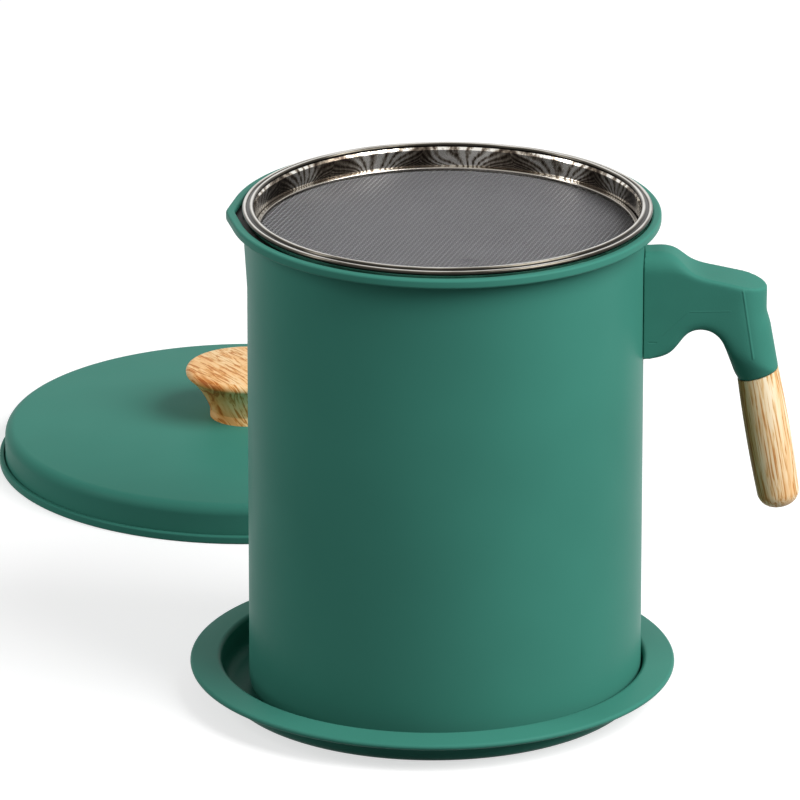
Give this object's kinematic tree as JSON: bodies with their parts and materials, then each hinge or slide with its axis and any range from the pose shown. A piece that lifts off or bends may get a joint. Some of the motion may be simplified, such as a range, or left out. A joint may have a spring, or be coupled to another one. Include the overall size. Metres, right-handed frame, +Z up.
{
  "type": "bacon grease container",
  "caption": "Green enamelled grease pot with a pour spout, wood-grain side handle, lift-out fine strainer, drip tray and knobbed lid laid beside it.",
  "frame": {"origin": "the point on the pot's axis in the plane of the drip tray's underside, which is the table", "axes": "+Z up along the pot's axis, +X out through the handle, -X out through the pour spout, +Y towards the lid that lies behind the pot"},
  "size_m": [0.274, 0.3883, 0.1687],
  "materials": {
    "green_enamel": "satin green enamel on pressed steel, dark non-stick coat inside the pot",
    "green_arm": "green moulded heat-resistant plastic, fine satin",
    "wood_grain": "light wood-grain print on a heat-resistant moulding, satin",
    "strainer_steel": "bright polished stainless steel",
    "mesh_steel": "fine woven stainless wire",
    "bracket_steel": "plain welded steel",
    "screw_steel": "plain zinc-plated steel",
    "insert_brass": "knurled brass, plain"
  },
  "bodies": {
    "tray": {"drip_tray": "green_enamel"},
    "pot": {"pot_body": "green_enamel", "handle_bracket": "bracket_steel", "handle_arm": "green_arm", "handle_flat_washer": "screw_steel", "handle_spring_washer": "screw_steel", "handle_screw": "screw_steel", "arm_insert": "insert_brass", "grip_stud": "screw_steel", "grip_insert": "insert_brass", "handle_grip": "wood_grain"},
    "strainer": {"strainer_hoop": "strainer_steel", "strainer_rim": "strainer_steel", "strainer_mesh": "mesh_steel", "mesh_clamp_ring": "strainer_steel"},
    "lid": {"lid_shell": "green_enamel", "lid_locating_ring": "green_enamel", "lid_knob": "wood_grain", "knob_insert": "insert_brass", "knob_flat_washer": "screw_steel", "knob_spring_washer": "screw_steel", "knob_screw": "screw_steel"}
  },
  "joints": [
    {"name": "pot_lift", "type": "slide", "parent": "tray", "child": "pot", "axis": [0, 0, 1], "range_m": [0, 0.06]},
    {"name": "strainer_lift", "type": "slide", "parent": "pot", "child": "strainer", "axis": [0, 0, 1], "range_m": [0, 0.06]},
    {"name": "lid_lift", "type": "slide", "parent": "tray", "child": "lid", "axis": [0, 0, 1], "range_m": [0, 0.2]}
  ]
}
